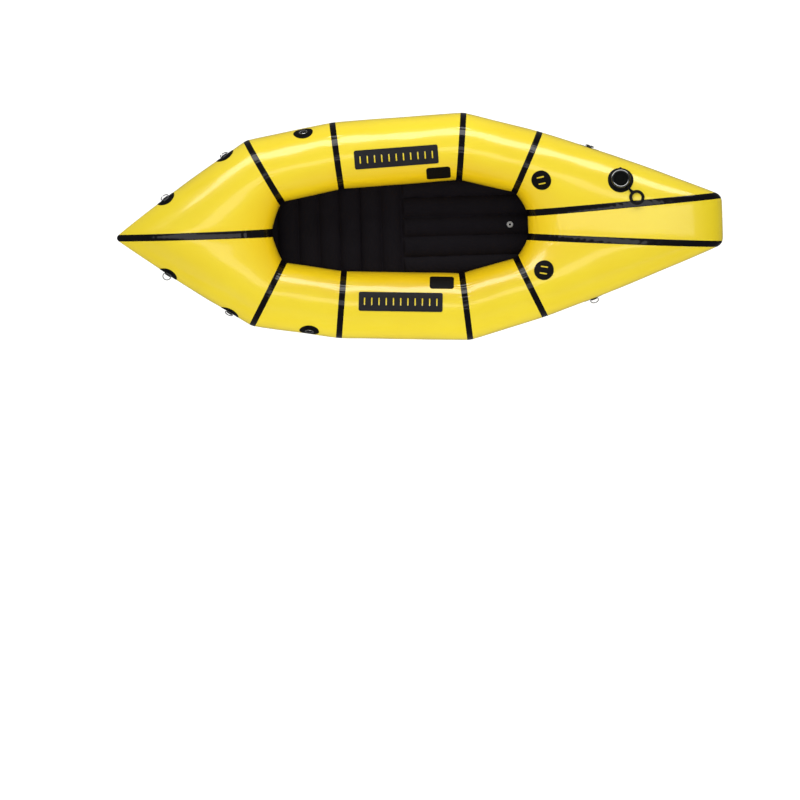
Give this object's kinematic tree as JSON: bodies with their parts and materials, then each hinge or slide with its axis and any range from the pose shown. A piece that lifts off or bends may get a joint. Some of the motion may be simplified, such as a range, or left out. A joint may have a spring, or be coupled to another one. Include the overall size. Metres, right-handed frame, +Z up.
{
  "type": "inflatable packraft",
  "caption": "Inflatable self-bailing packraft: a pointed oval tube of welded panels with seam tapes, wear strip, drained floor, ribbed air mat, D-rings, patches and valve.",
  "frame": {"origin": "middle of the bounding box in plan, on the surface that the raft lies on", "axes": "+X towards the stern, the bow along -X, +Y to starboard, +Z up"},
  "size_m": [2.6001, 0.982, 0.3785],
  "materials": {
    "hull_fabric": "glossy coated fabric",
    "seam_tape": "glossy black seam tape",
    "wear_fabric": "satin black coated fabric, scuffed",
    "floor_fabric": "satin dark grey coated fabric",
    "mat_fabric": "matte black coated fabric",
    "patch_slate": "matte dark slate fabric",
    "patch_black": "satin black patch and webbing",
    "ring_steel": "polished stainless steel",
    "valve_plastic": "glossy black moulding",
    "valve_rubber": "soft black rubber",
    "mat_valve_plastic": "silver grey moulding"
  },
  "bodies": {
    "raft": {"aft_panel_port": "hull_fabric", "aft_panel_starboard": "hull_fabric", "aft_tape_port": "seam_tape", "aft_tape_starboard": "seam_tape", "badge_patch_port": "patch_black", "badge_patch_starboard": "patch_black", "bow_centre_tape": "seam_tape", "bow_panel_port": "hull_fabric", "bow_panel_starboard": "hull_fabric", "bow_tape_port": "seam_tape", "bow_tape_starboard": "seam_tape", "d_ring_patch_bow_front_port": "patch_black", "d_ring_patch_bow_front_starboard": "patch_black", "d_ring_patch_bow_rear_port": "patch_black", "d_ring_patch_bow_rear_starboard": "patch_black", "d_ring_patch_side_port": "patch_black", "d_ring_patch_side_starboard": "patch_black", "d_ring_patch_stern_front_port": "patch_black", "d_ring_patch_stern_front_starboard": "patch_black", "d_ring_patch_stern_rear_port": "patch_black", "d_ring_patch_stern_rear_starboard": "patch_black", "floor_mat": "mat_fabric", "floor_sheet": "floor_fabric", "fore_panel_port": "hull_fabric", "fore_panel_starboard": "hull_fabric", "fore_tape_port": "seam_tape", "fore_tape_starboard": "seam_tape", "ladder_patch_port": "patch_slate", "ladder_patch_starboard": "patch_slate", "mat_valve_base": "mat_valve_plastic", "middle_panel_port": "hull_fabric", "middle_panel_starboard": "hull_fabric", "stern_deck_panel": "hull_fabric", "stern_deck_tape_port": "seam_tape", "stern_deck_tape_starboard": "seam_tape", "stern_panel_port": "hull_fabric", "stern_panel_starboard": "hull_fabric", "stern_tape_port": "seam_tape", "stern_tape_starboard": "seam_tape", "strap_patch_port": "patch_black", "strap_patch_starboard": "patch_black", "valve_base": "valve_plastic", "valve_membrane": "valve_rubber", "valve_patch": "patch_black", "wear_strip_port": "wear_fabric", "wear_strip_starboard": "wear_fabric", "wear_strip_stern": "wear_fabric"},
    "d_ring_bow_front_port": {"d_ring_bow_front_port": "ring_steel"},
    "d_ring_bow_front_starboard": {"d_ring_bow_front_starboard": "ring_steel"},
    "d_ring_bow_rear_port": {"d_ring_bow_rear_port": "ring_steel"},
    "d_ring_bow_rear_starboard": {"d_ring_bow_rear_starboard": "ring_steel"},
    "d_ring_side_port": {"d_ring_side_port": "ring_steel"},
    "d_ring_side_starboard": {"d_ring_side_starboard": "ring_steel"},
    "d_ring_stern_front_port": {"d_ring_stern_front_port": "ring_steel"},
    "d_ring_stern_front_starboard": {"d_ring_stern_front_starboard": "ring_steel"},
    "d_ring_stern_rear_port": {"d_ring_stern_rear_port": "ring_steel"},
    "d_ring_stern_rear_starboard": {"d_ring_stern_rear_starboard": "ring_steel"},
    "valve_cap": {"valve_cap": "valve_plastic"},
    "valve_leash": {"valve_leash": "valve_rubber"},
    "mat_valve_cap": {"mat_valve_cap": "mat_valve_plastic"}
  },
  "joints": [
    {"name": "d_ring_bow_front_port_swing", "type": "hinge", "parent": "raft", "child": "d_ring_bow_front_port", "pos_m": [-1.08542, -0.16524, 0.26745], "axis": [-0.8167, 0.5569, 0.1514], "range_deg": [-52, 120]},
    {"name": "d_ring_bow_front_starboard_swing", "type": "hinge", "parent": "raft", "child": "d_ring_bow_front_starboard", "pos_m": [-1.08543, 0.16516, 0.26745], "axis": [0.8104, 0.5669, -0.1479], "range_deg": [-11, 161]},
    {"name": "d_ring_bow_rear_port_swing", "type": "hinge", "parent": "raft", "child": "d_ring_bow_rear_port", "pos_m": [-0.82719, -0.33883, 0.22028], "axis": [-0.8252, 0.5437, 0.1532], "range_deg": [-13, 159]},
    {"name": "d_ring_bow_rear_starboard_swing", "type": "hinge", "parent": "raft", "child": "d_ring_bow_rear_starboard", "pos_m": [-0.82758, 0.33949, 0.22043], "axis": [0.8292, 0.5371, -0.1545], "range_deg": [-9, 163]},
    {"name": "d_ring_side_port_swing", "type": "hinge", "parent": "raft", "child": "d_ring_side_port", "pos_m": [-0.48742, -0.42964, 0.2246], "axis": [0.9806, -0.1723, -0.0939], "range_deg": [-5, 167]},
    {"name": "d_ring_side_starboard_swing", "type": "hinge", "parent": "raft", "child": "d_ring_side_starboard", "pos_m": [-0.48741, 0.42957, 0.22456], "axis": [-0.9805, -0.1729, 0.0936], "range_deg": [-5, 167]},
    {"name": "d_ring_stern_front_port_swing", "type": "hinge", "parent": "raft", "child": "d_ring_stern_front_port", "pos_m": [0.74024, -0.32814, 0.1722], "axis": [-0.9373, -0.3305, -0.1109], "range_deg": [-47, 125]},
    {"name": "d_ring_stern_front_starboard_swing", "type": "hinge", "parent": "raft", "child": "d_ring_stern_front_starboard", "pos_m": [0.74023, 0.3283, 0.17222], "axis": [0.9405, -0.3214, 0.1106], "range_deg": [-9, 163]},
    {"name": "d_ring_stern_rear_port_swing", "type": "hinge", "parent": "raft", "child": "d_ring_stern_rear_port", "pos_m": [1.07083, -0.17118, 0.14959], "axis": [-0.9118, -0.3966, -0.107], "range_deg": [-17, 155]},
    {"name": "d_ring_stern_rear_starboard_swing", "type": "hinge", "parent": "raft", "child": "d_ring_stern_rear_starboard", "pos_m": [1.07239, 0.17465, 0.14798], "axis": [0.9097, -0.4017, 0.105], "range_deg": [-9, 163]},
    {"name": "valve_cap_swing", "type": "hinge", "parent": "raft", "child": "valve_cap", "pos_m": [0.86671, 0.23694, 0.31965], "axis": [-0.9995, 0, 0.0331], "range_deg": [0, 100]},
    {"name": "valve_leash_lift", "type": "hinge", "parent": "raft", "child": "valve_leash", "pos_m": [0.89449, 0.15543, 0.34352], "axis": [-0.7773, -0.5853, 0.2308], "range_deg": [0, 80]},
    {"name": "mat_valve_cap_turn", "type": "hinge", "parent": "raft", "child": "mat_valve_cap", "pos_m": [0.39, 0, 0.07451], "axis": [0, 0, 1], "range_deg": [0, 90]}
  ]
}
